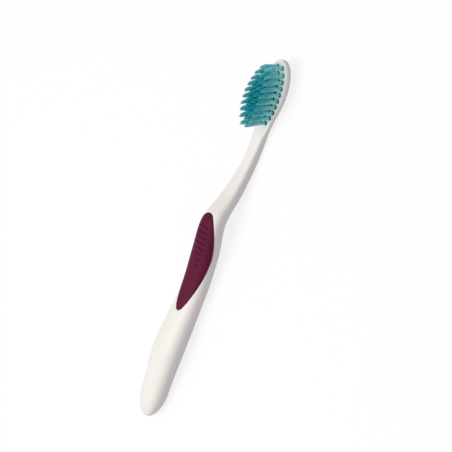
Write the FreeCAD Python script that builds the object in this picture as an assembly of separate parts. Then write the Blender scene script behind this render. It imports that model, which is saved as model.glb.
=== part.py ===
import FreeCAD, Part
import math
import os

# Manual toothbrush lying on its back along X: head towards +X, bristles towards +Z, table at Z = 0.
# Lengths are millimetres and angles are degrees.

# Handle: each stretch, from the rounded end to the head, and the section where that stretch ends
end_round_length = 14.0
end_width = 12.4
end_thickness = 10.8
end_middle_height = 5.5
end_tip_middle_height = 4.7
palm_stretch = 22.0
palm_width = 14.5
palm_thickness = 12.3
palm_middle_height = 7.85
waist_stretch = 31.2
waist_width = 12.0
waist_thickness = 10.3
waist_middle_height = 6.4
ramp_stretch = 19.8
ramp_width = 11.4
ramp_thickness = 10.4
ramp_middle_height = 8.7
thumb_stretch = 14.9
thumb_width = 9.8
thumb_thickness = 9.6
thumb_middle_height = 11.85
throat_stretch = 13.7
throat_width = 7.1
throat_thickness = 7.2
throat_middle_height = 6.35
neck_stretch = 20.4
neck_width = 5.6
neck_thickness = 5.5
neck_middle_height = 2.95
head_base_stretch = 14.0
head_base_width = 7.5
head_base_thickness = 4.5
head_base_middle_height = 4.2

# Fullness of sections and of rounded ends: 2 is elliptical, and more is squarer
end_rounding_fullness = 1.9
handle_fullness = 2.6
thumb_fullness = 2.9
neck_fullness = 3.8
head_fullness = 2.7
tip_rounding_fullness = 2.5

# Head: a tilted oval plate with a flat bristle face
head_widen_stretch = 14.0
head_round_length = 16.0
head_width = 13.0
head_thickness = 4.75
head_crown = 1.6
head_face_height = 7.15
head_tilt = 7.3
face_ramp_radius = 7.0
tip_bluntness_share = 0.5
end_flat_share = 0.1

# Grip pad: a teardrop of soft rubber seated in the handle's thumb side
grip_below_thumb = 45.6
grip_above_thumb = 3.2
grip_widest_below_thumb = 17.8
grip_half_angle = 77.0
grip_taper_share = 0.44
grip_depth = 1.4
grip_edge_proud = 0.15
grip_crown = 0.4
groove_count = 8
groove_pitch = 2.67
groove_width = 0.7
groove_depth = 0.4
groove_first_below_thumb = 3.1
groove_half_angle = 46.0
groove_narrowest_share = 0.27

# Tufts: bundles of bristles in rows across the head, trimmed at a slant
tip_margin = 3.4
base_margin = 0.9
rim_margin = 2.17
end_row_width = 2.9
hole_diameter = 2.0
hole_depth = 2.8
least_hole_wall = 0.3
least_row_wall = 0.65
tuft_clearance = 0.12
floor_clearance = 0.05
tuft_height = 12.1
tip_tuft_height = 10.0
rising_rows = 4
tuft_flare = 0.14
trim_angle = 56.0

# Anchors: flat metal blades that hold each folded bundle in its hole
anchor_thickness = 0.25
anchor_height = 1.2
anchor_bite = 0.2
anchor_lift = 0.5
anchor_clearance = 0.03

# How finely curves are drawn, and how far cutters reach past what they cut
sections_per_stretch = 3
sections_per_rounding = 7
sides_per_section = 24
sides_per_arc = 8
sections_per_grip = 15
sides_per_tuft = 10
cut_overrun = 3.0

# Places along the brush, measured from the handle's end
end_at = end_round_length
palm_at = end_at + palm_stretch
waist_at = palm_at + waist_stretch
ramp_at = waist_at + ramp_stretch
thumb_at = ramp_at + thumb_stretch
throat_at = thumb_at + throat_stretch
neck_at = throat_at + neck_stretch
head_base_at = neck_at + head_base_stretch
head_wide_at = head_base_at + head_widen_stretch
overall_length = head_wide_at + head_round_length
tilt_slope = math.tan(math.radians(head_tilt))
tilt_run = math.cos(math.radians(head_tilt))
tilt_rise = math.sin(math.radians(head_tilt))


def face_height(along):
    """Height of the bristle face's plane at a place along the brush."""
    return head_face_height + (along - head_wide_at) * tilt_slope


def head_middle(along):
    """Height of the middle of the head's rounded section before its face is cut flat."""
    return face_height(along) + (head_crown - head_thickness) / tilt_run / 2


head_full_thickness = (head_thickness + head_crown) / tilt_run
stations = [
    (0, end_width, end_thickness, end_tip_middle_height, handle_fullness),
    (end_at, end_width, end_thickness, end_middle_height, handle_fullness),
    (palm_at, palm_width, palm_thickness, palm_middle_height, handle_fullness),
    (waist_at, waist_width, waist_thickness, waist_middle_height, handle_fullness),
    (ramp_at, ramp_width, ramp_thickness, ramp_middle_height, thumb_fullness),
    (thumb_at, thumb_width, thumb_thickness, thumb_middle_height, thumb_fullness),
    (throat_at, throat_width, throat_thickness, throat_middle_height, neck_fullness),
    (neck_at, neck_width, neck_thickness, neck_middle_height, neck_fullness),
    (head_base_at, head_base_width, head_base_thickness, head_base_middle_height, neck_fullness),
    (head_wide_at, head_width, head_full_thickness, head_middle(head_wide_at), head_fullness),
    (overall_length, head_width, head_full_thickness, head_middle(overall_length), head_fullness),
]


def knot_slope(values, place):
    """Slope of a guide at a station that lets it pass without overshooting its neighbours."""
    steps = []
    for before in (place - 1, place):
        if 0 <= before < len(stations) - 1:
            run = stations[before + 1][0] - stations[before][0]
            steps.append((values[before + 1] - values[before]) / run)
    if len(steps) == 1:
        return steps[0]
    if steps[0] * steps[1] <= 0:
        return 0
    return 2 * steps[0] * steps[1] / (steps[0] + steps[1])


def guide(column, along):
    """Value of one column of the stations at any place, on a smooth curve through them all."""
    values = [row[column] for row in stations]
    place = 0
    while place < len(stations) - 2 and along > stations[place + 1][0]:
        place += 1
    run = stations[place + 1][0] - stations[place][0]
    share = (along - stations[place][0]) / run
    start_slope = knot_slope(values, place) * run
    end_slope = knot_slope(values, place + 1) * run
    rise = values[place + 1] - values[place]
    bend = start_slope + end_slope - 2 * rise
    return values[place] + share * (start_slope + share * (rise - start_slope - bend + share * bend))


def rounding(share, fullness):
    """Share of a full section that is left near a rounded end."""
    if share >= 1:
        return 1
    return max(end_flat_share, math.sqrt(1 - (1 - share) ** fullness))


def section_at(along):
    """Half width, half thickness and middle height of the body's section."""
    end_share = rounding(along / end_round_length, end_rounding_fullness)
    tip_share = rounding((overall_length - along) / head_round_length, tip_rounding_fullness)
    half_width = guide(1, along) / 2 * end_share * tip_share
    half_thickness = guide(2, along) / 2 * end_share * tip_share ** tip_bluntness_share
    return half_width, half_thickness, guide(3, along)


def surface_point(along, angle, outward):
    """Point beside the body's surface, with the angle taken round the section from the front."""
    half_width, half_thickness, middle = section_at(along)
    fullness = guide(4, along)
    across = math.sin(math.radians(angle))
    up = math.cos(math.radians(angle))
    wide = abs(across / half_width) ** fullness
    tall = abs(up / half_thickness) ** fullness
    reach = (wide + tall) ** (-1 / fullness) + outward
    return FreeCAD.Vector(along, reach * across, middle + reach * up)


def section_wire(along):
    """Closed outline of the body's section: a full oval of short sides, with one side flat on its back."""
    half_width, half_thickness, middle = section_at(along)
    fullness = guide(4, along)
    points = []
    for count in range(sides_per_section):
        turn = 2 * math.pi * (count + 1 / 2) / sides_per_section
        across = math.copysign(abs(math.sin(turn)) ** (2 / fullness), math.sin(turn))
        up = math.copysign(abs(math.cos(turn)) ** (2 / fullness), -math.cos(turn))
        points.append(FreeCAD.Vector(along, half_width * across, middle + half_thickness * up))
    return Part.makePolygon(points + points[:1])


def rounding_shares(fullness):
    """Shares of a rounded end's length at which its sections stand, closing up towards its tip."""
    first_turn = math.asin(end_flat_share)
    shares = []
    for count in range(sections_per_rounding):
        turn = first_turn + (math.pi / 2 - first_turn) * count / sections_per_rounding
        shares.append(1 - math.cos(turn) ** (2 / fullness))
    return shares


def section_places():
    """Places of the body's sections, from the handle's rounded end to the head's tip."""
    places = [end_round_length * share for share in rounding_shares(end_rounding_fullness)]
    places.append(end_round_length)
    for place in range(1, len(stations) - 2):
        start = stations[place][0]
        run = stations[place + 1][0] - start
        for count in range(1, sections_per_stretch + 1):
            places.append(start + run * count / sections_per_stretch)
    for share in reversed(rounding_shares(tip_rounding_fullness)):
        places.append(overall_length - head_round_length * share)
    return places


def make_body():
    """Whole moulded body as one smooth loft from the handle's end to the head's tip."""
    return Part.makeLoft([section_wire(along) for along in section_places()], True)


def make_face_cutter():
    """Block that cuts the bristle face flat, with a rounded ramp where the face meets the neck."""
    half_reach = head_width / 2 + cut_overrun
    top = head_face_height + head_thickness + face_ramp_radius
    ramp_end = FreeCAD.Vector(head_base_at, -half_reach, face_height(head_base_at))
    centre = ramp_end + FreeCAD.Vector(-tilt_rise, 0, tilt_run) * face_ramp_radius
    ramp_start = centre - FreeCAD.Vector(face_ramp_radius, 0, 0)
    ramp_middle = centre + (ramp_start + ramp_end - centre * 2).normalize() * face_ramp_radius
    far = overall_length + cut_overrun
    corners = [
        ramp_end,
        FreeCAD.Vector(far, -half_reach, face_height(far)),
        FreeCAD.Vector(far, -half_reach, top),
        FreeCAD.Vector(ramp_start.x, -half_reach, top),
        ramp_start,
    ]
    edges = [Part.LineSegment(start, end).toShape() for start, end in zip(corners, corners[1:])]
    edges.append(Part.Arc(ramp_start, ramp_middle, ramp_end).toShape())
    return Part.Face(Part.Wire(edges)).extrude(FreeCAD.Vector(0, 2 * half_reach, 0))


grip_widest_at = thumb_at - grip_widest_below_thumb


def grip_station(turn):
    """Place, half angle and crown of the grip pad, from its lower end at -90 to its upper at +90."""
    swing = math.sin(math.radians(turn))
    lower_length = grip_below_thumb - grip_widest_below_thumb
    upper_length = grip_above_thumb + grip_widest_below_thumb
    along = grip_widest_at + swing * (upper_length if swing > 0 else lower_length)
    taper = 1 + grip_taper_share * min(0, swing)
    round_share = math.cos(math.radians(turn))
    return along, grip_half_angle * taper * round_share, grip_crown * round_share


def grip_turn(along):
    """Turn of the grip's station at a place along the brush."""
    lower_length = grip_below_thumb - grip_widest_below_thumb
    upper_length = grip_above_thumb + grip_widest_below_thumb
    offset = along - grip_widest_at
    return math.degrees(math.asin(offset / (upper_length if offset > 0 else lower_length)))


def grip_height(angle, half_angle, crown):
    """How far the pad's outer face stands out of the handle at an angle round it."""
    return grip_edge_proud + crown * (1 - (angle / half_angle) ** 4)


def ring_wire(along, half_angle, outer, inner):
    """Outline of a piece of ring round the body between two heights given by angle."""
    angles = [half_angle * (2 * side / sides_per_arc - 1) for side in range(sides_per_arc + 1)]
    outside = [surface_point(along, angle, outer(angle)) for angle in angles]
    inside = [surface_point(along, angle, inner(angle)) for angle in reversed(angles)]
    return Part.makePolygon(outside + inside + outside[:1])


def make_grip_blank():
    """Grip pad before its grooves, which is also the shape of its seat in the handle."""
    last_turn = math.degrees(math.acos(end_flat_share))
    wires = []
    for count in range(sections_per_grip):
        turn = last_turn * (2 * count / (sections_per_grip - 1) - 1)
        along, half_angle, crown = grip_station(turn)
        wires.append(ring_wire(
            along,
            half_angle,
            lambda angle: grip_height(angle, half_angle, crown),
            lambda angle: -grip_depth,
        ))
    return Part.makeLoft(wires, True)


def make_groove(count):
    """Cutter for one cross groove, deepest in the middle of the pad and fading towards its ends."""
    along = thumb_at - groove_first_below_thumb - count * groove_pitch
    narrowing = 1 - (1 - groove_narrowest_share) * count / max(1, groove_count - 1)
    half_angle, crown = grip_station(grip_turn(along))[1:]
    reach = min(groove_half_angle * narrowing, half_angle)
    wire = ring_wire(
        along - groove_width / 2,
        reach,
        lambda angle: grip_height(angle, half_angle, crown) + groove_depth,
        lambda angle: grip_height(angle, half_angle, crown) - groove_depth * (1 - (angle / reach) ** 2),
    )
    return Part.Face(wire).extrude(FreeCAD.Vector(groove_width, 0, 0))


def tuft_places():
    """Row number, place in the row and root point of every tuft, from the head's tip to its base."""
    head_length = overall_length - head_base_at
    field_length = (head_length - tip_margin) / tilt_run - base_margin
    field_width = head_width - 2 * rim_margin
    row_count = 1 + int(field_length / (hole_diameter + least_row_wall))
    oval_half_length = field_length / 2 / math.sqrt(1 - (end_row_width / field_width) ** 2)
    places = []
    for row in range(row_count):
        from_tip = field_length * row / (row_count - 1)
        along = overall_length - tip_margin - from_tip * tilt_run
        offset = (from_tip - field_length / 2) / oval_half_length
        row_width = field_width * math.sqrt(1 - offset ** 2)
        gaps = int(row_width / (hole_diameter + least_hole_wall))
        for column in range(gaps + 1):
            across = row_width * (column / gaps - 1 / 2) if gaps else 0
            places.append((row, column, FreeCAD.Vector(along, across, face_height(along))))
    return places


def on_face(shape, root):
    """Shape that was drawn about the origin, stood on the bristle face at a tuft's root."""
    upright = FreeCAD.Rotation(FreeCAD.Vector(0, 1, 0), -head_tilt)
    shape.Placement = FreeCAD.Placement(root, upright)
    return shape


def tuft_ring(radius, height):
    """Corners of the outline across a tuft, or across its hole, at a height above the bristle face."""
    turns = [2 * math.pi * side / sides_per_tuft for side in range(sides_per_tuft)]
    return [FreeCAD.Vector(radius * math.cos(turn), radius * math.sin(turn), height) for turn in turns]


def flat_sided(rings):
    """Solid with flat sides between rings of corners, closed by its first and last rings."""
    outlines = [rings[0], rings[-1]]
    for lower, upper in zip(rings, rings[1:]):
        for side in range(len(lower)):
            outlines.append([lower[side - 1], lower[side], upper[side], upper[side - 1]])
    faces = [Part.Face(Part.makePolygon(corners + corners[:1])) for corners in outlines]
    return Part.Solid(Part.Shell(faces))


def make_hole():
    """Blind tuft hole, with its mouth in the bristle face."""
    radius = hole_diameter / 2
    return flat_sided([tuft_ring(radius, -hole_depth), tuft_ring(radius, cut_overrun)])


def make_blade(clearance):
    """Anchor blade across a tuft hole, or the slot that takes it when there is a clearance."""
    length = hole_diameter + 2 * anchor_bite + 2 * clearance
    thickness = anchor_thickness + 2 * clearance
    height = anchor_height + 2 * clearance
    corner = FreeCAD.Vector(-length / 2, -thickness / 2, anchor_lift - hole_depth - clearance)
    return Part.makeBox(length, thickness, height, corner)


def row_tuft_height(row):
    """Height of a row's tufts, which rise from the row at the head's tip to their full height."""
    return tip_tuft_height + (tuft_height - tip_tuft_height) * min(1, row / rising_rows)


def make_tuft(height):
    """Bundle of bristles folded round its blade, flared a little and trimmed at a slant."""
    root_radius = hole_diameter / 2 - tuft_clearance
    end_radius = root_radius + tuft_flare
    rise = end_radius * math.tan(math.radians(trim_angle))
    top = height + rise + cut_overrun
    top_radius = root_radius + tuft_flare * top / height
    bottom = floor_clearance - hole_depth
    rings = [tuft_ring(root_radius, bottom), tuft_ring(root_radius, 0), tuft_ring(top_radius, top)]
    bundle = flat_sided(rings)
    block = Part.makeBox(2 * top, 2 * top, top, FreeCAD.Vector(-top, -top, 0))
    slant = FreeCAD.Rotation(FreeCAD.Vector(0, 1, 0), trim_angle)
    block.Placement = FreeCAD.Placement(FreeCAD.Vector(0, 0, height), slant)
    return bundle.cut(block).cut(make_blade(anchor_clearance))


def lowest_back():
    """Height of the lowest place on the body's back, which lies on the table."""
    return min(section_wire(along).BoundBox.ZMin for along in section_places())


def export(name, shape):
    """Write one piece with the brush centred on the table."""
    shape.translate(FreeCAD.Vector(-overall_length / 2, 0, -lowest_back()))
    shape.exportStep("parts/" + name + ".step")
    solids = len(shape.Solids)
    print(name, "valid" if shape.isValid() else "NOT VALID", solids, "solids", round(shape.Volume, 3), "mm3")


def main():
    """Build the pieces and write them."""
    os.makedirs("parts", exist_ok=True)
    places = tuft_places()
    roots = [root for _, _, root in places]
    blank = make_grip_blank()
    body = make_body().cut(make_face_cutter()).cut(blank)
    cutters = [on_face(make_hole(), root) for root in roots]
    cutters += [on_face(make_blade(0), root) for root in roots]
    export("handle", body.cut(cutters))
    export("grip", blank.cut([make_groove(count) for count in range(groove_count)]))
    export("tuft_anchors", Part.makeCompound([on_face(make_blade(0), root) for root in roots]))
    for row, column, root in places:
        name = "tuft_row{:02d}_{}".format(row + 1, "abcdefgh"[column])
        export(name, on_face(make_tuft(row_tuft_height(row)), root))


main()
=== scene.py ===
"""Manual toothbrush: a moulded body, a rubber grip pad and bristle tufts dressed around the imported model."""

import logging
import math
from dataclasses import dataclass
from enum import Enum
from typing import Iterable

import bpy
from mathutils import Matrix, Vector


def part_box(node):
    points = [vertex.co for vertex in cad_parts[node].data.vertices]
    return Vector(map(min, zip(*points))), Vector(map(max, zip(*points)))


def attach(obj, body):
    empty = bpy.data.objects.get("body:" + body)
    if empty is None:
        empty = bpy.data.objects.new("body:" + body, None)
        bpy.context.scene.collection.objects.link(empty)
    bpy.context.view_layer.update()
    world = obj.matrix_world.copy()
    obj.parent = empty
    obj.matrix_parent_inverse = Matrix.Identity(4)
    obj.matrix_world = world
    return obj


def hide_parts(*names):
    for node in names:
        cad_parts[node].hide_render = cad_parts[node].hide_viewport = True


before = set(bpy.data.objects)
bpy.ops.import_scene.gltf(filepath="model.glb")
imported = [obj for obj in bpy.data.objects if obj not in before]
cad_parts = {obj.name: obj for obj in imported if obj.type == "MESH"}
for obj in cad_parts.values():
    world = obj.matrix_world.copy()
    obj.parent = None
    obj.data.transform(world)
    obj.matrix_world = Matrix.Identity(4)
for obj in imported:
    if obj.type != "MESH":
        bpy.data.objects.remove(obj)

LOG = logging.getLogger("toothbrush")
BODY = "root"
FAR_ABOVE = 1.0
MILLIMETRES = 1000
GOLDEN_TURN = math.radians(137.508)
MOTTLE_DETAIL = 2.0
GRAIN_DETAIL = 3.0
# Sockets that Blender tells apart only by their numbers.
MIX_COLOURS, MIX_RESULT = (6, 7), 2
RANDOM_RANGE, RANDOM_RESULT = (2, 3), 1
Colour = tuple[float, float, float]
Points = list[Vector]
Piece = bpy.types.Object
Socket = bpy.types.NodeSocket
BLACK: Colour = (0.0, 0.0, 0.0)
WHITE: Colour = (1.0, 1.0, 1.0)


class Slot(Enum):
    """Names of the brush's material slots."""

    HANDLE = "handle_plastic"
    GRIP = "grip_rubber"
    BRISTLE = "bristle_nylon"


class Mark(Enum):
    """Values that are stored on the points of a mesh, each with its name and kind."""

    # Share of painted bounce light, cyan from the tufts, on the head's face.
    TUFT_BOUNCE_SHARE = ("painted_tuft_bounce", "FLOAT")
    HEIGHT_SHARE = ("height_share", "FLOAT")
    # How crowded a tuft is, for the painted shade on its end.
    CROWD_SHADE_SHARE = ("crowd_shade_share", "FLOAT")
    ALONG_SHARE = ("along_share", "FLOAT")
    TONE = ("tone", "FLOAT")
    TUFT = ("tuft", "INT")
    KEY = ("key", "INT")
    OFFSET = ("offset", "FLOAT_VECTOR")

    def __init__(self, label: str, kind: str) -> None:
        """Keep the name and the kind apart."""
        self.label = label
        self.kind = kind


def mesh_object(name: str, points: Iterable[Vector], faces: list[list[int]]) -> Piece:
    """Make a mesh object at the origin.

    Args:
        name: The piece's name.
        points: The corners, in metres, in the frame of the model.
        faces: The corner numbers of each face, turning anticlockwise seen from outside.

    Returns:
        The new object, linked to the scene.
    """
    mesh = bpy.data.meshes.new(name)
    mesh.from_pydata([tuple(point) for point in points], [], faces)
    mesh.update()
    made = bpy.data.objects.new(name, mesh)
    bpy.context.scene.collection.objects.link(made)
    return made


def store_values(mesh: bpy.types.Mesh, mark: Mark, values: list[float]) -> None:
    """Store one value on each point of a mesh.

    Args:
        mesh: The mesh.
        mark: What the values are.
        values: The values, in the order of the points.
    """
    stored = mesh.attributes.new(mark.label, mark.kind, "POINT").data
    for place, value in zip(stored, values):
        place.value = value


def loft(name: str, rings: list[Points]) -> Piece:
    """Skin closed rings of points in order, with a face over each end.

    Args:
        name: The piece's name.
        rings: Rings with the same number of points, each turning alike.

    Returns:
        A closed mesh object with its faces outwards.
    """
    size = len(rings[0])
    faces = [list(range(size))[::-1], [len(rings) * size - size + place for place in range(size)]]
    for ring in range(len(rings) - 1):
        for place in range(size):
            ahead = (place + 1) % size
            near, far = ring * size, (ring + 1) * size
            faces.append([near + place, near + ahead, far + ahead, far + place])
    made = mesh_object(name, (point for ring in rings for point in ring), faces)
    turn_outwards(made.data)
    return made


def turn_outwards(mesh: bpy.types.Mesh) -> None:
    """Turn a closed mesh's faces over where its volume comes out negative."""
    volume = 0.0
    for face in mesh.polygons:
        around = [mesh.vertices[number].co for number in face.vertices]
        for second, third in zip(around[1:], around[2:]):
            volume += around[0].dot(second.cross(third))
    if volume < 0:
        mesh.flip_normals()


def cut_away(target: Piece, cutter: Piece) -> None:
    """Cut one closed mesh out of another and remove the cutter.

    Args:
        target: The object that keeps what is left.
        cutter: The object whose inside is taken away.
    """
    modifier = target.modifiers.new("cut", "BOOLEAN")
    modifier.operation = "DIFFERENCE"
    modifier.solver = "MANIFOLD"
    modifier.object = cutter
    apply_modifiers(target)
    bpy.data.objects.remove(cutter)


def apply_modifiers(target: Piece) -> None:
    """Turn an object's evaluated form into its plain mesh and take its modifiers off."""
    graph = bpy.context.evaluated_depsgraph_get()
    shaped = target.evaluated_get(graph)
    mesh = bpy.data.meshes.new_from_object(shaped, preserve_all_data_layers=True, depsgraph=graph)
    target.modifiers.clear()
    target.data = mesh


def shade(target: Piece, crease: float) -> None:
    """Shade an object smooth, with creases where faces meet at more than an angle in degrees."""
    target.data.shade_smooth()
    target.data.set_sharp_from_angle(angle=math.radians(crease))


def soft_min(first: float, second: float, reach: float) -> float:
    """The lesser of two values, rounded off where they are within a reach of each other."""
    overlap = max(reach - abs(first - second), 0) / reach
    return min(first, second) - overlap ** 2 * reach / 4


def ease(share: float) -> float:
    """A share from 0 to 1 that starts and stops gently."""
    held = min(1, max(0, share))
    return held * held * (3 - 2 * held)


def power(value: float, exponent: float) -> float:
    """A power of a value's size, with the value's sign."""
    return math.copysign(abs(value) ** exponent, value)


class NodeSheet:
    """A node tree with short ways to add, fill and join its nodes."""

    def __init__(self, tree: bpy.types.NodeTree) -> None:
        """Work on one tree."""
        self.tree = tree

    def fill(self, node: bpy.types.Node, inputs: dict) -> None:
        """Set or join a node's inputs.

        Args:
            node: The node.
            inputs: Values, or other nodes' outputs, by the input's name or number.
        """
        for key, value in inputs.items():
            socket = node.inputs[key]
            if isinstance(value, Socket):
                self.tree.links.new(value, socket)
            else:
                socket.default_value = (*value, 1) if socket.type == "RGBA" else value

    def add(self, kind: str, inputs: dict | None = None, **settings: object) -> bpy.types.Node:
        """Add a node.

        Args:
            kind: The node's type name.
            inputs: Values, or other nodes' outputs, by the input's name or number.
            **settings: The node's own properties.

        Returns:
            The new node.
        """
        node = self.tree.nodes.new(kind)
        for name, value in settings.items():
            setattr(node, name, value)
        self.fill(node, inputs or {})
        return node

    def math(self, operation: str, *values: object) -> Socket:
        """Add a sum of one, two or three values and give its result."""
        return self.add("ShaderNodeMath", dict(enumerate(values)), operation=operation).outputs[0]

    def vector(self, operation: str, *values: object) -> Socket:
        """Add a vector sum and give its vector."""
        return self.add("ShaderNodeVectorMath", dict(enumerate(values)), operation=operation).outputs[0]

    def scaled(self, vector: object, scale: object) -> Socket:
        """Add the product of a vector and a number and give its vector."""
        return self.add("ShaderNodeVectorMath", {0: vector, "Scale": scale}, operation="SCALE").outputs[0]

    def combined(self, **parts: object) -> Socket:
        """Add a vector of given X, Y and Z parts and give it."""
        return self.add("ShaderNodeCombineXYZ", parts).outputs[0]

    def mix(self, share: object, first: object, second: object) -> Socket:
        """Add a mix of two colours and give its colour."""
        node = self.add("ShaderNodeMix", {"Factor": share}, data_type="RGBA")
        self.fill(node, dict(zip(MIX_COLOURS, (first, second))))
        return node.outputs[MIX_RESULT]

    def stored(self, mark: Mark) -> Socket:
        """Add a reader of a stored value to a material and give the value."""
        return self.add("ShaderNodeAttribute", attribute_name=mark.label).outputs["Fac"]

    def socket(self, name: str, kind: str, way: str = "INPUT") -> None:
        """Add a named socket to the tree's own interface."""
        self.tree.interface.new_socket(name, in_out=way, socket_type="NodeSocket" + kind)


def new_material(name: str) -> tuple[bpy.types.Material, NodeSheet, bpy.types.Node]:
    """Start a material with one Principled shader.

    Args:
        name: The material's name.

    Returns:
        The material, its sheet of nodes, and its shader.
    """
    material = bpy.data.materials.new(name)
    material.use_nodes = True
    return material, NodeSheet(material.node_tree), material.node_tree.nodes["Principled BSDF"]


def grain_group() -> bpy.types.ShaderNodeTree:
    """Build the shared grain of a moulded surface: a slow mottle, and a fine height.

    Returns:
        A node group with inputs for both scales and outputs for both fields.
    """
    tree = bpy.data.node_groups.new("moulded_grain", "ShaderNodeTree")
    sheet = NodeSheet(tree)
    for name in ("Mottle Scale", "Grain Scale"):
        sheet.socket(name, "Float")
    for name in ("Mottle", "Height"):
        sheet.socket(name, "Float", "OUTPUT")
    given = sheet.add("NodeGroupInput").outputs
    place = sheet.add("ShaderNodeTexCoord").outputs["Object"]

    def noise(scale: str, detail: float) -> Socket:
        """Add a noise of one of the given scales."""
        inputs = {"Vector": place, "Scale": given[scale], "Detail": detail}
        return sheet.add("ShaderNodeTexNoise", inputs).outputs["Fac"]

    sheet.add("NodeGroupOutput", {
        "Mottle": noise("Mottle Scale", MOTTLE_DETAIL), "Height": noise("Grain Scale", GRAIN_DETAIL)})
    return tree


@dataclass(frozen=True)
class MouldedFinish:
    """A moulded surface: two near colours in a slow mottle, a fine grain that softens its gloss, and any
    painted bounce light.
    """

    name: str
    colour: Colour
    shade_colour: Colour
    gloss_roughness: float
    dull_roughness: float
    mottle_scale: float
    grain_scale: float
    grain_strength: float
    grain_depth: float
    subsurface: float = 0.0
    subsurface_reach: float = 0.002
    specular: float = 0.5
    metallic: float = 0.0
    # Painted bounce light: a colour mixed in where the body is near the tufts.
    painted_bounce_colour: Colour | None = None

    def material(self, grain: bpy.types.ShaderNodeTree) -> bpy.types.Material:
        """Build the material.

        Args:
            grain: The shared grain group.

        Returns:
            A material that reads Object coordinates.
        """
        material, sheet, shader = new_material(self.name)
        scales = {"Mottle Scale": self.mottle_scale, "Grain Scale": self.grain_scale}
        field = sheet.add("ShaderNodeGroup", scales, node_tree=grain).outputs
        span = self.dull_roughness - self.gloss_roughness
        bump = sheet.add("ShaderNodeBump", {
            "Height": field["Height"], "Strength": self.grain_strength, "Distance": self.grain_depth})
        colour = sheet.mix(field["Mottle"], self.colour, self.shade_colour)
        # Painted bounce light from the teal tufts on the face around them.
        if self.painted_bounce_colour:
            colour = sheet.mix(sheet.stored(Mark.TUFT_BOUNCE_SHARE), colour, self.painted_bounce_colour)
        sheet.fill(shader, {
            "Base Color": colour,
            "Roughness": sheet.math("MULTIPLY_ADD", field["Height"], span, self.gloss_roughness),
            "Normal": bump.outputs["Normal"],
            "Metallic": self.metallic,
            "Specular IOR Level": self.specular,
            "Subsurface Weight": self.subsurface,
            "Subsurface Scale": self.subsurface_reach,
        })
        return material


@dataclass(frozen=True)
class FilamentFinish:
    """Dyed nylon filament: painted shade darkens it where it is packed in its hole, pale above, and deeper
    towards its cut end.

    A tuft among others ends in the deep colour, a painted shade among crowded tufts, and one at the edge of
    the field in the paler edge colour.
    """

    name: str = "teal_nylon"
    # Painted shade on the filament's root, in its hole and just above the face.
    packed: Colour = (0.006, 0.060, 0.065)
    pale: Colour = (0.32, 0.97, 0.95)
    # Painted shade on the ends of tufts crowded in the middle of the field.
    deep: Colour = (0.006, 0.56, 0.67)
    edge: Colour = (0.21, 0.78, 0.80)
    root_shade_share: float = 0.155
    pale_share: float = 0.235
    side_share: float = 0.55
    deep_share: float = 1.0
    tone_spread: float = 0.12
    roughness: float = 0.38
    specular: float = 0.2
    subsurface: float = 0.4
    subsurface_reach: float = 0.0008

    def material(self) -> bpy.types.Material:
        """Build the material, which reads each filament's own stored values."""
        material, sheet, shader = new_material(self.name)
        along = sheet.stored(Mark.ALONG_SHARE)
        ramp = sheet.add("ShaderNodeValToRGB", {"Fac": along})
        # Painted shade: each filament is dark at its root, then pale above the face.
        stops = ((self.root_shade_share, self.packed), (self.pale_share, self.pale))
        for stop, (share, colour) in zip(ramp.color_ramp.elements, stops):
            stop.position, stop.color = share, (*colour, 1)
        span = {"Value": along, "From Min": self.side_share, "From Max": self.deep_share}
        towards_end = sheet.add("ShaderNodeMapRange", span).outputs["Result"]
        # Painted shade: the ends of crowded tufts darken to the deep colour.
        end = sheet.mix(sheet.stored(Mark.CROWD_SHADE_SHARE), self.edge, self.deep)
        colour = sheet.mix(towards_end, ramp.outputs["Color"], end)
        darker = sheet.math("MULTIPLY", sheet.stored(Mark.TONE), self.tone_spread)
        sheet.fill(shader, {
            "Base Color": sheet.mix(darker, colour, BLACK),
            "Roughness": self.roughness,
            "Specular IOR Level": self.specular,
            "Subsurface Weight": self.subsurface,
            "Subsurface Scale": self.subsurface_reach,
        })
        return material


PLASTIC = MouldedFinish(
    name="warm_white_plastic", colour=(0.90, 0.865, 0.815), shade_colour=(0.87, 0.835, 0.785),
    gloss_roughness=0.36, dull_roughness=0.48, mottle_scale=70.0, grain_scale=2600.0,
    grain_strength=0.12, grain_depth=0.00004, subsurface=0.12, specular=0.35,
    # Painted bounce light from the teal tufts.
    painted_bounce_colour=(0.72, 0.89, 0.89))
RUBBER = MouldedFinish(
    name="plum_rubber", colour=(0.118, 0.006, 0.038), shade_colour=(0.096, 0.005, 0.031),
    gloss_roughness=0.42, dull_roughness=0.62, mottle_scale=160.0, grain_scale=5200.0,
    grain_strength=0.25, grain_depth=0.00005, specular=0.11)
METAL = MouldedFinish(
    name="anchor_strip", colour=(0.62, 0.55, 0.40), shade_colour=(0.52, 0.46, 0.34),
    gloss_roughness=0.25, dull_roughness=0.45, mottle_scale=900.0, grain_scale=9000.0,
    grain_strength=0.2, grain_depth=0.00001, metallic=1.0)
NYLON = FilamentFinish()


@dataclass(frozen=True)
class Station:
    """A place along the brush and the section of its body there, in metres.

    Fullness 2 is an oval section, and more is squarer.
    """

    along: float
    width: float
    thickness: float
    middle: float
    fullness: float


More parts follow.
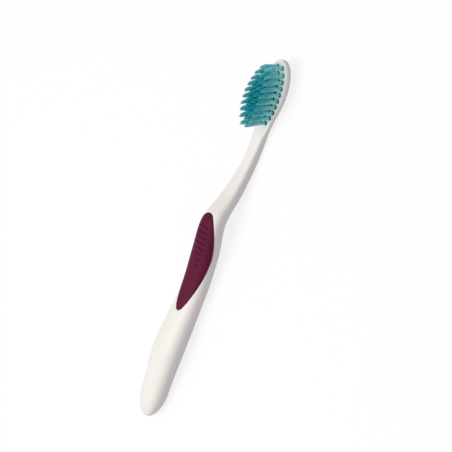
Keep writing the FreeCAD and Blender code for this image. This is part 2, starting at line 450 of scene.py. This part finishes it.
@dataclass
class BodyShape:
    """The moulded body's form, from the handle's rounded end to the head's tip, in metres and degrees."""

    length: float = 0.180
    end_round: float = 0.014
    head_base: float = 0.150
    head_wide: float = 0.164
    head_round: float = 0.016
    head_width: float = 0.0130
    head_thickness: float = 0.00475
    head_crown: float = 0.0016
    face_height: float = 0.00715
    head_tilt: float = 7.3
    ramp_radius: float = 0.007
    handle_fullness: float = 2.6
    thumb_fullness: float = 2.9
    neck_fullness: float = 3.8
    head_fullness: float = 2.7
    end_rounding: float = 1.9
    tip_rounding: float = 2.5
    tip_bluntness: float = 0.5
    rim_round: float = 0.0005
    rim_settle: float = 0.006
    ramp_round: float = 0.0018
    ramp_settle: float = 0.004
    plain_rim_turn: float = 0.9
    least_end_share: float = 0.03
    rim_gather: float = 1.5
    end_rings: int = 24
    end_skip: int = 2
    sample_rings: float = 4.0
    soften: float = 0.003
    soften_steps: int = 4
    soften_divisions: int = 2

    def __post_init__(self) -> None:
        """Set out the stations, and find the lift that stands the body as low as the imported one."""
        full = (self.head_thickness + self.head_crown) / math.cos(math.radians(self.head_tilt))
        head = [Station(along, self.head_width, full, self.head_middle(along), self.head_fullness)
                for along in (self.head_wide, self.length)]
        self.stations = [
            Station(0, 0.0124, 0.0108, 0.0047, self.handle_fullness),
            Station(self.end_round, 0.0124, 0.0108, 0.0055, self.handle_fullness),
            Station(0.036, 0.0145, 0.0123, 0.00785, self.handle_fullness),
            Station(0.0672, 0.0120, 0.0103, 0.0064, self.handle_fullness),
            Station(0.0870, 0.0114, 0.0104, 0.0087, self.thumb_fullness),
            Station(0.1019, 0.0098, 0.0096, 0.01185, self.thumb_fullness),
            Station(0.1156, 0.0071, 0.0072, 0.00635, self.neck_fullness),
            Station(0.136, 0.0056, 0.0055, 0.00295, self.neck_fullness),
            Station(self.head_base, 0.0075, 0.0045, 0.0042, self.neck_fullness),
            *head,
        ]
        sections = [self.section(along) for along in self.places(self.sample_rings)]
        lowest = min(middle - half_thickness for _, half_thickness, middle in sections)
        self.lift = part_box("handle")[0].z - lowest

    def face_plane(self, along: float) -> float:
        """Height of the bristle face's plane at a place along the brush."""
        return self.face_height + (along - self.head_wide) * math.tan(math.radians(self.head_tilt))

    def head_middle(self, along: float) -> float:
        """Middle height of the head's full section, before its face is flattened."""
        slack = (self.head_crown - self.head_thickness) / math.cos(math.radians(self.head_tilt))
        return self.face_plane(along) + slack / 2

    def face_limit(self, along: float) -> float:
        """Height that the body stays under: the bristle face, and the rounded ramp up to the neck."""
        if along >= self.head_base:
            return self.face_plane(along)
        tilt = math.radians(self.head_tilt)
        centre = self.head_base - self.ramp_radius * math.sin(tilt)
        top = self.face_plane(self.head_base) + self.ramp_radius * math.cos(tilt)
        offset = centre - along
        if offset >= self.ramp_radius:
            return FAR_ABOVE
        return top - math.sqrt(self.ramp_radius ** 2 - offset ** 2)

    def knot_slope(self, values: list[float], place: int) -> float:
        """Slope of a guide at a station that keeps it between its neighbours."""
        steps = []
        for before in (place - 1, place):
            if 0 <= before < len(values) - 1:
                run = self.stations[before + 1].along - self.stations[before].along
                steps.append((values[before + 1] - values[before]) / run)
        if len(steps) == 1:
            return steps[0]
        if steps[0] * steps[1] <= 0:
            return 0
        return 2 * steps[0] * steps[1] / (steps[0] + steps[1])

    def guide(self, values: list[float], along: float) -> float:
        """Value of one guide curve at a place along the brush.

        Args:
            values: The guide's value at each station.
            along: Distance from the handle's end.

        Returns:
            The value on a smooth curve through the stations.
        """
        place = 0
        while place < len(values) - 2 and along > self.stations[place + 1].along:
            place += 1
        run = self.stations[place + 1].along - self.stations[place].along
        share = (along - self.stations[place].along) / run
        start = self.knot_slope(values, place) * run
        stop = self.knot_slope(values, place + 1) * run
        rise = values[place + 1] - values[place]
        bend = start + stop - 2 * rise
        return values[place] + share * (start + share * (rise - start - bend + share * bend))

    def soft_guide(self, measure: str, along: float) -> float:
        """Guide curve of one measure of the stations, averaged over a short reach to soften its knots."""
        values = [getattr(station, measure) for station in self.stations]
        total, weights = 0.0, 0.0
        for step in range(-self.soften_steps, self.soften_steps + 1):
            offset = step / self.soften_divisions
            place = min(self.length, max(0, along + offset * self.soften))
            weight = math.exp(-offset ** 2 / 2)
            total += weight * self.guide(values, place)
            weights += weight
        return total / weights

    def rounding(self, share: float, fullness: float) -> float:
        """Share of a full section that is left near a rounded end."""
        if share >= 1:
            return 1
        return max(self.least_end_share, math.sqrt(1 - (1 - max(0, share)) ** fullness))

    def section(self, along: float) -> tuple[float, float, float]:
        """Half width, half thickness and middle height of the section at a place along the brush."""
        end = self.rounding(along / self.end_round, self.end_rounding)
        tip = self.rounding((self.length - along) / self.head_round, self.tip_rounding)
        measures = ("width", "thickness", "middle")
        width, thickness, middle = (self.soft_guide(measure, along) for measure in measures)
        return width / 2 * end * tip, thickness / 2 * end * tip ** self.tip_bluntness, middle

    def fullness(self, along: float) -> float:
        """Fullness of the section at a place along the brush."""
        return self.soft_guide("fullness", along)

    def places(self, per_millimetre: float) -> list[float]:
        """Places of the rings along the body, closing up towards both rounded ends."""
        turns = [math.pi / 2 * (count + self.end_skip) / (self.end_rings + self.end_skip)
                 for count in range(self.end_rings)]
        start, stop = self.end_round, self.length - self.head_round
        count = round((stop - start) * per_millimetre * MILLIMETRES)
        between = [start + (stop - start) * step / count for step in range(count + 1)]
        ends = [start * (1 - math.cos(turn) ** (2 / self.end_rounding)) for turn in turns]
        tips = [self.length - self.head_round * (1 - math.cos(turn) ** (2 / self.tip_rounding))
                for turn in turns]
        return ends + between + tips[::-1]

    def surface_point(self, along: float, angle: float, outward: float) -> Vector:
        """Point beside the surface, with the angle in degrees taken round the section from the front."""
        half_width, half_thickness, middle = self.section(along)
        fullness = self.fullness(along)
        across, up = math.sin(math.radians(angle)), math.cos(math.radians(angle))
        wide = abs(across / half_width) ** fullness
        tall = abs(up / half_thickness) ** fullness
        reach = (wide + tall) ** (-1 / fullness) + outward
        return Vector((along - self.length / 2, reach * across, middle + reach * up + self.lift))

    def rim_turn(self, along: float) -> float:
        """Turn round the section at which the bristle face's rim runs, eased in from the neck."""
        half_thickness, middle = self.section(along)[1:]
        share = min(1, max(0, (self.face_plane(along) - middle) / half_thickness))
        cut = math.acos(share ** (self.fullness(along) / 2))
        settled = ease((along - self.head_base) / self.rim_settle)
        return self.plain_rim_turn + (cut - self.plain_rim_turn) * settled

    def ring(self, along: float, face_steps: int, back_steps: int) -> Points:
        """One closed ring of the body, with its points gathered towards the rim of the face.

        Args:
            along: Distance from the handle's end.
            face_steps: Points from the middle of the front to the rim.
            back_steps: Points from the rim to the middle of the back.

        Returns:
            The ring's points in the model's frame.
        """
        half_width, half_thickness, middle = self.section(along)
        rim, limit = self.rim_turn(along), self.face_limit(along)
        exponent = 2 / self.fullness(along)
        on_face = ease((along - self.head_base) / self.ramp_settle)
        reach = self.ramp_round + (self.rim_round - self.ramp_round) * on_face
        turns = [rim * (1 - (1 - step / face_steps) ** self.rim_gather) for step in range(face_steps + 1)]
        turns += [rim + (math.pi - rim) * (step / back_steps) ** self.rim_gather
                  for step in range(1, back_steps + 1)]
        turns += [2 * math.pi - turn for turn in reversed(turns[1:-1])]
        points = []
        for turn in turns:
            across = half_width * power(math.sin(turn), exponent)
            up = middle + half_thickness * power(math.cos(turn), exponent)
            height = soft_min(up, limit, reach)
            points.append(Vector((along - self.length / 2, across, height + self.lift)))
        return points


@dataclass
class GripPad:
    """The soft grip pad: a rubber teardrop with a rolled edge and cross grooves, sunk in the thumb side."""

    shape: BodyShape
    thumb: float = 0.1019
    below_thumb: float = 0.0456
    above_thumb: float = 0.0032
    widest_below_thumb: float = 0.0178
    half_angle: float = 80.0
    lean: float = 5.0
    upper_lean: float = 5.0
    taper_share: float = 0.44
    upper_bluntness: float = 0.86
    lower_bluntness: float = 0.84
    depth: float = 0.0014
    proud: float = 0.00015
    crown: float = 0.0004
    crown_power: int = 4
    edge_roll: float = 0.0006
    seat_gap: float = 0.00004
    seat_chamfer: float = 0.00035
    groove_count: int = 8
    groove_pitch: float = 0.00267
    groove_width: float = 0.0007
    groove_depth: float = 0.0004
    groove_first_below_thumb: float = 0.0031
    groove_half_angle: float = 46.0
    groove_narrowest_share: float = 0.42
    groove_drift: float = -15.0
    groove_lip_share: float = 0.6
    groove_wall_steepness: float = 1.6
    groove_end_power: int = 6
    rings: int = 420
    arc_steps: int = 48
    last_turn: float = 87.5
    crease: float = 40.0
    seat_rings: int = 160
    seat_steps: int = 24

    def outline(self, turn: float, spare: float) -> tuple[float, float]:
        """Place and half angle of the pad's outline.

        Args:
            turn: From -90 at the pad's lower end to 90 at its upper end.
            spare: How far the outline is widened, in metres.

        Returns:
            The place along the brush, and the half angle round it in degrees.
        """
        swing, swell = math.sin(math.radians(turn)), math.cos(math.radians(turn))
        widest = self.thumb - self.widest_below_thumb
        reach = self.above_thumb + self.widest_below_thumb
        bluntness = self.upper_bluntness
        if swing < 0:
            reach = self.below_thumb - self.widest_below_thumb
            bluntness = self.lower_bluntness
        along = widest + swing * (reach + spare)
        half = self.half_angle * (1 + self.taper_share * min(0, swing)) * max(0, swell) ** bluntness
        half_width = self.shape.section(along)[0]
        return along, half + math.degrees(spare / half_width)

    def point(self, along: float, angle: float, outward: float) -> Vector:
        """Point beside the body's surface, with the angle taken from the pad's own middle line."""
        above = along - self.thumb + self.widest_below_thumb
        lean = self.lean + self.upper_lean * ease(above / (self.above_thumb + self.widest_below_thumb))
        return self.shape.surface_point(along, lean + angle, outward)

    def groove(self, along: float, angle: float) -> float:
        """Depth of the cross grooves at a place on the pad, rounded at their lips."""
        deepest = 0.0
        for count in range(self.groove_count):
            middle = self.thumb - self.groove_first_below_thumb - count * self.groove_pitch
            below_first = count / max(1, self.groove_count - 1)
            narrowing = 1 - (1 - self.groove_narrowest_share) * below_first
            side = abs(along - middle) / (self.groove_width * self.groove_lip_share)
            swing = abs(angle - self.groove_drift * below_first) / (self.groove_half_angle * narrowing)
            if side < 1 and swing < 1:
                wall = ease(self.groove_wall_steepness * (1 - side))
                deepest = max(deepest, wall * (1 - swing ** self.groove_end_power) * self.groove_depth)
        return deepest

    def height(self, turn: float, share: float) -> float:
        """Height of the pad's outer face above the body's surface.

        Args:
            turn: The turn of the ring that the point is on.
            share: Place across the pad, from -1 at one edge to 1 at the other.

        Returns:
            The height in metres, negative where the edge rolls into its seat.
        """
        along, half = self.outline(turn, 0)
        swell = math.cos(math.radians(turn))
        to_side = math.radians(half * (1 - abs(share))) * self.shape.section(along)[0]
        end = self.thumb + self.above_thumb if turn > 0 else self.thumb - self.below_thumb
        from_edge = min(to_side, abs(end - along))
        short = max(0, self.edge_roll - from_edge)
        roll = self.edge_roll - math.sqrt(self.edge_roll ** 2 - short ** 2)
        dome = self.proud + self.crown * swell * (1 - share ** self.crown_power)
        return dome - roll - self.groove(along, half * share)

    def build(self) -> Piece:
        """Build the pad as one closed mesh."""
        shares = [-math.cos(math.pi * step / self.arc_steps) for step in range(self.arc_steps + 1)]
        rings = []
        for count in range(self.rings):
            turn = self.last_turn * (2 * count / (self.rings - 1) - 1)
            along, half = self.outline(turn, 0)
            outer = [self.point(along, half * share, self.height(turn, share)) for share in shares]
            inner = [self.point(along, half * share, -self.depth) for share in reversed(shares)]
            rings.append(outer + inner)
        pad = loft("grip_pad", rings)
        shade(pad, self.crease)
        return pad

    def seat(self) -> Piece:
        """Build the cutter for the pad's seat, which flares into a chamfer at the body's surface."""
        levels = [(-self.depth, 0.0), (-self.seat_chamfer, 0.0), (self.seat_chamfer, 2 * self.seat_chamfer)]
        top = self.proud + self.crown + self.depth
        steps = self.seat_steps
        rings = []
        for count in range(self.seat_rings):
            turn = 180 * count / (self.seat_rings - 1) - 90
            ring: Points = []
            for outward, flare in levels:
                along, half = self.outline(turn, self.seat_gap + flare)
                ring.append(self.point(along, half, outward))
            along, half = self.outline(turn, self.seat_gap + 2 * self.seat_chamfer)
            for place in range(steps + 1):
                ring.append(self.point(along, half * (1 - 2 * place / steps), top))
            for outward, flare in reversed(levels):
                along, half = self.outline(turn, self.seat_gap + flare)
                ring.append(self.point(along, -half, outward))
            along, half = self.outline(turn, self.seat_gap)
            for place in range(1, steps):
                ring.append(self.point(along, half * (2 * place / steps - 1), -self.depth))
            rings.append(ring)
        return loft("seat_cutter", rings)


@dataclass
class FilamentTree:
    """The node tree that grows nylon filaments on the points of tuft roots."""

    first_step: float = 0.5
    tuft_turn: float = 1.7
    key_step: float = 997.0
    rings: int = 6
    end_gather: float = 3.0
    flare_power: float = 1.4
    blunt_from: float = 0.99
    blunt_share: float = 0.5

    def __post_init__(self) -> None:
        """Start the tree with its named inputs."""
        self.tree = bpy.data.node_groups.new("bristle_tufts", "GeometryNodeTree")
        self.sheet = NodeSheet(self.tree)
        self.sheet.socket("Roots", "Geometry")
        for name in ("Per Tuft", "Sides", "Seed"):
            self.sheet.socket(name, "Int")
        for name in ("Bundle Radius", "Filament Radius", "Height", "Sunk", "Flare", "Trim Slope", "Uneven",
                     "Stray", "Tilt"):
            self.sheet.socket(name, "Float")
        self.sheet.socket("Material", "Material")
        self.sheet.socket("Filaments", "Geometry", "OUTPUT")
        self.given = self.sheet.add("NodeGroupInput").outputs

    def store(self, geometry: object, mark: Mark, value: object) -> Socket:
        """Store a value on the points and give their geometry."""
        inputs = {"Geometry": geometry, "Name": mark.label, "Value": value}
        node = self.sheet.add("GeometryNodeStoreNamedAttribute", inputs, data_type=mark.kind, domain="POINT")
        return node.outputs["Geometry"]

    def read(self, mark: Mark) -> Socket:
        """Read a stored value."""
        node = self.sheet.add("GeometryNodeInputNamedAttribute", {"Name": mark.label}, data_type=mark.kind)
        return node.outputs[0]

    def drawn(self, low: float, high: float, key: object, offset: int) -> Socket:
        """Draw one random value for each key, from a seed that is the given one and an offset."""
        seed = self.sheet.math("ADD", self.given["Seed"], float(offset))
        inputs = {**dict(zip(RANDOM_RANGE, (low, high))), "ID": key, "Seed": seed}
        return self.sheet.add("FunctionNodeRandomValue", inputs).outputs[RANDOM_RESULT]

    def geometry(self, kind: str, inputs: dict) -> Socket:
        """Add a node and give its first output."""
        return self.sheet.add(kind, inputs).outputs[0]

    def spread(self) -> Socket:
        """Copy each root for its filaments, and store their places in a sunflower pattern round it."""
        maths, given = self.sheet.math, self.given
        index = self.sheet.add("GeometryNodeInputIndex").outputs[0]
        inputs = {"Geometry": self.store(given["Roots"], Mark.TUFT, index), "Amount": given["Per Tuft"]}
        copies = self.sheet.add("GeometryNodeDuplicateElements", inputs, domain="POINT").outputs
        order, tuft = copies["Duplicate Index"], self.read(Mark.TUFT)
        share = maths("DIVIDE", maths("ADD", order, self.first_step), given["Per Tuft"])
        radius = maths("MULTIPLY", maths("SQRT", share), given["Bundle Radius"])
        turn = maths("MULTIPLY_ADD", order, GOLDEN_TURN, maths("MULTIPLY", tuft, self.tuft_turn))
        offset = self.sheet.combined(X=maths("MULTIPLY", radius, maths("COSINE", turn)),
                                     Y=maths("MULTIPLY", radius, maths("SINE", turn)))
        key = maths("MULTIPLY_ADD", tuft, self.key_step, order)
        placed = self.store(copies["Geometry"], Mark.OFFSET, offset)
        placed = self.store(placed, Mark.KEY, key)
        return self.store(placed, Mark.TONE, self.drawn(0.0, 1.0, key, 0))

    def grow(self, points: Socket, factor: Socket) -> Socket:
        """Stand a curve on each point, with its rings gathered towards its cut end.

        Args:
            points: One point for each filament.
            factor: The share of a curve that lies before a ring, when its rings are even.

        Returns:
            The curves, with the share of their length stored on each ring.
        """
        line = self.geometry("GeometryNodeCurvePrimitiveLine", {"End": (0, 0, 1)})
        line = self.geometry("GeometryNodeResampleCurve", {"Curve": line, "Count": self.rings})
        grown = self.geometry("GeometryNodeInstanceOnPoints", {"Points": points, "Instance": line})
        grown = self.geometry("GeometryNodeRealizeInstances", {"Geometry": grown})
        left = self.sheet.math("POWER", self.sheet.math("SUBTRACT", 1.0, factor), self.end_gather)
        return self.store(grown, Mark.ALONG_SHARE, self.sheet.math("SUBTRACT", 1.0, left))

    def place(self) -> Socket:
        """Work out where each ring of a filament stands, from its tuft's flare, trim and stray."""
        sheet, maths, given = self.sheet, self.sheet.math, self.given
        along, offset, key = (self.read(mark) for mark in (Mark.ALONG_SHARE, Mark.OFFSET, Mark.KEY))
        reach = sheet.add("ShaderNodeSeparateXYZ", {0: offset}).outputs["X"]
        trim = maths("MULTIPLY", maths("MULTIPLY", reach, maths("ADD", 1.0, given["Flare"])),
                     given["Trim Slope"])
        uneven = maths("MULTIPLY", self.drawn(-1.0, 0.0, key, 1), given["Uneven"])
        full = maths("MULTIPLY", given["Height"], self.read(Mark.HEIGHT_SHARE))
        tall = maths("ADD", maths("SUBTRACT", full, trim), uneven)
        rise = maths("SUBTRACT", maths("MULTIPLY", along, maths("ADD", tall, given["Sunk"])), given["Sunk"])
        above = maths("MAXIMUM", maths("DIVIDE", rise, given["Height"]), 0.0)
        widen = maths("MULTIPLY_ADD", maths("POWER", above, self.flare_power), given["Flare"], 1.0)
        lean = sheet.combined(X=self.drawn(-1.0, 1.0, key, 2), Y=self.drawn(-1.0, 1.0, key, 3))
        lean = sheet.scaled(lean, maths("MULTIPLY", maths("MULTIPLY", above, above), given["Stray"]))
        here = sheet.add("GeometryNodeInputPosition").outputs[0]
        root = sheet.vector("MULTIPLY", here, (1.0, 1.0, 0.0))
        flared = sheet.vector("ADD", root, sheet.scaled(offset, widen))
        return sheet.vector("ADD", flared, sheet.vector("ADD", lean, sheet.combined(Z=rise)))

    def skin(self, curves: Socket, factor: Socket) -> Socket:
        """Give the curves their thickness, with blunted ends, and turn them to stand on the bristle face.

        Args:
            curves: The placed filaments.
            factor: The share of a curve that lies before a ring.

        Returns:
            The filaments as smooth closed meshes.
        """
        maths, given = self.sheet.math, self.given
        below_end = maths("LESS_THAN", factor, self.blunt_from)
        radius = maths("MULTIPLY_ADD", below_end, 1 - self.blunt_share, self.blunt_share)
        curves = self.geometry("GeometryNodeSetCurveRadius", {"Curve": curves, "Radius": radius})
        profile = self.geometry("GeometryNodeCurvePrimitiveCircle", {
            "Resolution": given["Sides"], "Radius": given["Filament Radius"]})
        skin = self.geometry("GeometryNodeCurveToMesh", {
            "Curve": curves, "Profile Curve": profile, "Fill Caps": True})
        turned = self.sheet.combined(Y=maths("MULTIPLY", given["Tilt"], -1.0))
        stood = self.geometry("GeometryNodeTransform", {"Geometry": skin, "Rotation": turned})
        return self.geometry("GeometryNodeSetShadeSmooth", {"Geometry": stood})

    def build(self) -> bpy.types.GeometryNodeTree:
        """Join the steps.

        Returns:
            A tree that takes points on the bristle face and gives the finished filaments.
        """
        factor = self.sheet.add("GeometryNodeSplineParameter").outputs["Factor"]
        grown = self.grow(self.spread(), factor)
        placed = self.geometry("GeometryNodeSetPosition", {"Geometry": grown, "Position": self.place()})
        solid = self.geometry("GeometryNodeRealizeInstances", {"Geometry": self.skin(placed, factor)})
        dressed = self.geometry("GeometryNodeSetMaterial", {
            "Geometry": solid, "Material": self.given["Material"]})
        self.sheet.add("NodeGroupOutput", {"Filaments": dressed})
        return self.tree


@dataclass
class BristleField:
    """The tufts of nylon filaments that stand in the head's holes, in metres and degrees."""

    shape: BodyShape
    hole_diameter: float = 0.0020
    hole_depth: float = 0.0028
    floor_clearance: float = 0.00005
    drilled_depth: float = 0.0020
    sunk_share: float = 0.9
    bundle_radius: float = 0.00060
    filament_radius: float = 0.00010
    height: float = 0.0114
    tip_height: float = 0.0094
    rising_rows: int = 4
    flare: float = 1.0
    trim_angle: float = 62.0
    uneven: float = 0.00020
    stray: float = 0.00006
    per_tuft: int = 70
    sides: int = 6
    seed: int = 7
    hole_sides: int = 28
    # How far the painted bounce light from the tufts reaches across the face and down into the holes.
    painted_bounce_reach: float = 0.0024
    painted_bounce_depth: float = 0.0012
    # Reach over which neighbouring tufts add to the painted shade among them.
    crowd_shade_reach: float = 0.0055

    def nodes(self) -> list[str]:
        """Names of the model's tuft nodes."""
        return sorted(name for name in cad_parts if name.startswith("tuft_row"))

    def upright(self) -> Matrix:
        """Turn from the bristle face's own axes to the model's."""
        return Matrix.Rotation(-math.radians(self.shape.head_tilt), 4, "Y")

    def height_share(self, node: str) -> float:
        """Share of the full height that a tuft has in its row, with the shortest row at the head's tip."""
        row = int(node.removeprefix("tuft_row").split("_")[0]) - 1
        least = self.tip_height / self.height
        return least + (1 - least) * min(1, row / self.rising_rows)

    def crowd_shade_shares(self) -> list[float]:
        """How deep each tuft stands among the others, from 0 at the field's corners to 1 in its middle, for
        the painted shade among crowded tufts.
        """
        places = [root.xy for root in self.roots()]
        crowds = [sum(math.exp(-((place - other).length / self.crowd_shade_reach) ** 2) for other in places)
                  for place in places]
        least, most = min(crowds), max(crowds)
        return [(crowd - least) / (most - least) for crowd in crowds]

    def root(self, node: str) -> Vector:
        """Root of a tuft on the bristle face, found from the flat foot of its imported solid."""
        level = self.upright().inverted()
        solid = [level @ vertex.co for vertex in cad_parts[node].data.vertices]
        lowest = min(point.z for point in solid)
        foot = [point for point in solid if point.z - lowest < self.floor_clearance]
        middle_x = (min(point.x for point in foot) + max(point.x for point in foot)) / 2
        middle_y = (min(point.y for point in foot) + max(point.y for point in foot)) / 2
        return Vector((middle_x, middle_y, lowest + self.hole_depth - self.floor_clearance))

    def roots(self) -> Points:
        """Roots of all the tufts, in the order of their nodes and in the bristle face's own axes."""
        return [self.root(node) for node in self.nodes()]

    def mark_painted_bounce(self, body: Piece) -> None:
        """Store on each corner of the body its share of the painted bounce light from the tufts, fading away
        from them and down into the holes.

        Args:
            body: The moulded body, with its holes cut.
        """
        level, roots = self.upright().inverted(), self.roots()
        shares = []
        for vertex in body.data.vertices:
            place = level @ vertex.co
            gap = min((place.xy - root.xy).length for root in roots) - self.hole_diameter / 2
            below = max(0, roots[0].z - place.z)
            shares.append(ease(1 - max(0, gap) / self.painted_bounce_reach) * ease(1 - below / self.painted_bounce_depth))
        store_values(body.data, Mark.TUFT_BOUNCE_SHARE, shares)

    def holes(self) -> Piece:
        """Build the cutter for all the tuft holes."""
        points: Points = []
        faces: list[list[int]] = []
        radius = self.hole_diameter / 2
        for root in self.roots():
            first = len(points)
            for height in (-self.drilled_depth, self.drilled_depth):
                for side in range(self.hole_sides):
                    turn = 2 * math.pi * side / self.hole_sides
                    corner = Vector((radius * math.cos(turn), radius * math.sin(turn), height))
                    points.append(self.upright() @ (root + corner))
            low = [first + side for side in range(self.hole_sides)]
            high = [first + self.hole_sides + side for side in range(self.hole_sides)]
            faces += [low[::-1], high]
            faces += [[low[side - 1], low[side], high[side], high[side - 1]]
                      for side in range(self.hole_sides)]
        return mesh_object("hole_cutter", points, faces)

    def build(self, material: bpy.types.Material) -> Piece:
        """Grow the filaments and turn them into one plain mesh.

        Args:
            material: The filaments' finish.

        Returns:
            The bristles of every tuft, in the model's frame.
        """
        roots = self.roots()
        level = sum(root.z for root in roots) / len(roots)
        bristles = mesh_object("bristles", (Vector((root.x, root.y, 0)) for root in roots), [])
        store_values(bristles.data, Mark.HEIGHT_SHARE, [self.height_share(node) for node in self.nodes()])
        store_values(bristles.data, Mark.CROWD_SHADE_SHARE, self.crowd_shade_shares())
        tree = FilamentTree().build()
        modifier = bristles.modifiers.new("bristle_tufts", "NODES")
        modifier.node_group = tree
        values = {
            "Per Tuft": self.per_tuft, "Sides": self.sides, "Seed": self.seed,
            "Bundle Radius": self.bundle_radius, "Filament Radius": self.filament_radius,
            "Height": self.height, "Sunk": self.drilled_depth * self.sunk_share, "Flare": self.flare,
            "Trim Slope": math.tan(math.radians(self.trim_angle)), "Uneven": self.uneven,
            "Stray": self.stray, "Tilt": math.radians(self.shape.head_tilt), "Material": material,
        }
        for item in tree.interface.items_tree:
            if item.name in values:
                modifier[item.identifier] = values[item.name]
        apply_modifiers(bristles)
        bristles.data.transform(Matrix.Translation(self.upright() @ Vector((0, 0, level))))
        return bristles


@dataclass
class Toothbrush:
    """The whole brush: builds each piece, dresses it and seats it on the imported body."""

    shape: BodyShape
    grip: GripPad
    bristles: BristleField
    rings_per_millimetre: float = 1.6
    face_steps: int = 28
    back_steps: int = 36
    body_crease: float = 38.0

    def settle(self, piece: Piece, slot: Slot, material: bpy.types.Material, *nodes: str) -> None:
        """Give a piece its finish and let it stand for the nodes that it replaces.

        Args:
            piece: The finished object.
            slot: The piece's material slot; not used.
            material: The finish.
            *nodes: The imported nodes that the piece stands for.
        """
        piece.data.materials.clear()
        piece.data.materials.append(material)
        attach(piece, BODY)
        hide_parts(*nodes)
        LOG.info("%s: %d faces for %d nodes", piece.name, len(piece.data.polygons), len(nodes))

    def body(self) -> Piece:
        """Build the moulded body with its grip seat and its tuft holes."""
        places = self.shape.places(self.rings_per_millimetre)
        rings = [self.shape.ring(along, self.face_steps, self.back_steps) for along in places]
        body = loft("moulded_body", rings)
        cut_away(body, self.grip.seat())
        cut_away(body, self.bristles.holes())
        self.bristles.mark_painted_bounce(body)
        shade(body, self.body_crease)
        return body

    def dress(self) -> None:
        """Build every piece with its finish."""
        grain = grain_group()
        self.settle(self.body(), Slot.HANDLE, PLASTIC.material(grain), "handle")
        self.settle(self.grip.build(), Slot.GRIP, RUBBER.material(grain), "grip")
        nylon = NYLON.material()
        self.settle(self.bristles.build(nylon), Slot.BRISTLE, nylon, *self.bristles.nodes())
        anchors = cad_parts["tuft_anchors"]
        anchors.data.materials.clear()
        anchors.data.materials.append(METAL.material(grain))
        LOG.info("tuft_anchors: packed node with its metal finish")


@dataclass
class Studio:
    """The pale table, the soft lamp and the camera at the photograph's angle, in metres and degrees."""

    target: tuple[float, float, float] = (0.01001, -0.00128, 0.003595)
    distance: float = 0.663
    azimuth: float = 25.54
    elevation: float = 51.31
    roll: float = -88.56
    lens: float = 117.03
    sensor: float = 36.0
    table_half: float = 3.0
    table_gap: float = 0.00003
    table_colour: Colour = (0.47, 0.43, 0.51)
    table_roughness: float = 0.9
    table_glow: float = 0.80
    sky_strength: float = 0.50
    lamp_place: tuple[float, float, float] = (-0.15, 0.05, 0.92)
    lamp_size: float = 0.6
    lamp_watts: float = 5.0

    def camera(self) -> None:
        """Stand the camera where the photograph was taken from."""
        turn, lift, roll = (math.radians(angle) for angle in (self.azimuth, self.elevation, self.roll))
        back = Vector((math.sin(turn) * math.cos(lift), -math.cos(turn) * math.cos(lift), math.sin(lift)))
        right = Vector((math.cos(turn), math.sin(turn), 0))
        up = back.cross(right)
        across = right * math.cos(roll) + up * math.sin(roll)
        data = bpy.data.cameras.new("photo_camera")
        data.lens = self.lens
        data.sensor_width = self.sensor
        camera = bpy.data.objects.new("photo_camera", data)
        axes = Matrix((across, back.cross(across), back)).transposed().to_4x4()
        camera.matrix_world = Matrix.Translation(Vector(self.target) + back * self.distance) @ axes
        bpy.context.scene.collection.objects.link(camera)
        bpy.context.scene.camera = camera

    def lamp(self) -> None:
        """Hang one square soft lamp over the brush, facing it."""
        data = bpy.data.lights.new("top_lamp", "AREA")
        data.size, data.energy = self.lamp_size, self.lamp_watts
        lamp = bpy.data.objects.new("top_lamp", data)
        lamp.location = self.lamp_place
        lamp.rotation_euler = (Vector(self.target) - lamp.location).to_track_quat("-Z", "Y").to_euler()
        bpy.context.scene.collection.objects.link(lamp)

    def seen(self, sheet: NodeSheet) -> Socket:
        """Mask of the rays that look at the backdrop, straight or through gloss and glass."""
        rays = sheet.add("ShaderNodeLightPath").outputs
        glossy = sheet.math("MAXIMUM", rays["Is Glossy Ray"], rays["Is Transmission Ray"])
        return sheet.math("MAXIMUM", rays["Is Camera Ray"], glossy)

    def sky(self) -> None:
        """Light the brush evenly from all round, with white where the camera looks past it."""
        world = bpy.data.worlds.new("studio")
        world.use_nodes = True
        bpy.context.scene.world = world
        sheet = NodeSheet(world.node_tree)
        strength = sheet.math("MULTIPLY_ADD", self.seen(sheet), 1 - self.sky_strength, self.sky_strength)
        sheet.fill(world.node_tree.nodes["Background"], {"Color": WHITE, "Strength": strength})

    def table(self) -> None:
        """Lay the pale table, which shows white to the camera but for the brush's soft shadow."""
        half, height = self.table_half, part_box("handle")[0].z - self.table_gap
        ends = [Vector((x * half, y * half, height)) for x, y in ((-1, -1), (1, -1), (1, 1), (-1, 1))]
        table = mesh_object("table", ends, [[0, 1, 2, 3]])
        material, sheet, shader = new_material("pale_table")
        seen = self.seen(sheet)
        shown = (1 - self.table_glow,) * 3
        sheet.fill(shader, {
            "Base Color": sheet.mix(seen, self.table_colour, shown),
            "Roughness": self.table_roughness,
            "Specular IOR Level": 0.0,
            "Emission Color": WHITE,
            "Emission Strength": sheet.math("MULTIPLY", seen, self.table_glow),
        })
        table.data.materials.append(material)

    def build(self) -> None:
        """Set up everything around the brush."""
        self.table()
        self.sky()
        self.lamp()
        self.camera()
        bpy.context.scene.view_settings.view_transform = "Standard"
        LOG.info("studio: table, sky, lamp and camera")


def main() -> None:
    """Build the brush and its studio."""
    logging.basicConfig(level=logging.INFO, format="%(message)s")
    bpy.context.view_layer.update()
    shape = BodyShape()
    Toothbrush(shape, GripPad(shape), BristleField(shape)).dress()
    Studio().build()


if __name__ == "__main__":
    main()
